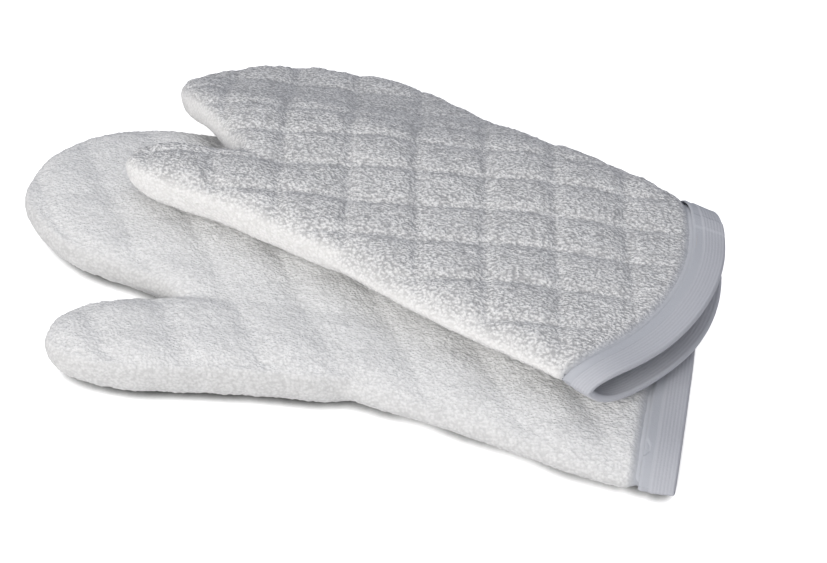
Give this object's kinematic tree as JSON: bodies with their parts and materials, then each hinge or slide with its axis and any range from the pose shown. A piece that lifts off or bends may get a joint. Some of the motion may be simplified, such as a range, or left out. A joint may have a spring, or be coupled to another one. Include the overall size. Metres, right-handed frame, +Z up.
{
  "type": "oven mitt",
  "caption": "Quilted white terry oven mitts with ribbed cuff binding, lying one across the other; padded lined pockets for hand and thumb.",
  "frame": {"origin": "centre of the underside of the pair's bounding box, on the surface that the mitts lie on", "axes": "+X along the lower mitt from fingers to cuff, +Y away from its thumb, +Z up"},
  "size_m": [0.3755, 0.275, 0.0592],
  "materials": {
    "terry": "white cotton loop-pile terry cloth",
    "batting": "needled cotton and polyester heat batting",
    "lining": "plain woven cotton lining",
    "binding": "ribbed cotton binding tape"
  },
  "bodies": {
    "lower_mitt": {"lower_back_terry": "terry", "lower_back_batting": "batting", "lower_back_lining": "lining", "lower_palm_terry": "terry", "lower_palm_batting": "batting", "lower_palm_lining": "lining", "lower_cuff_binding": "binding"},
    "upper_mitt": {"upper_back_terry": "terry", "upper_back_batting": "batting", "upper_back_lining": "lining", "upper_palm_terry": "terry", "upper_palm_batting": "batting", "upper_palm_lining": "lining", "upper_cuff_binding": "binding"}
  },
  "joints": [
    {"name": "upper_mitt_lift", "type": "slide", "parent": "lower_mitt", "child": "upper_mitt", "axis": [0, 0, 1], "range_m": [0, 0.15]}
  ]
}
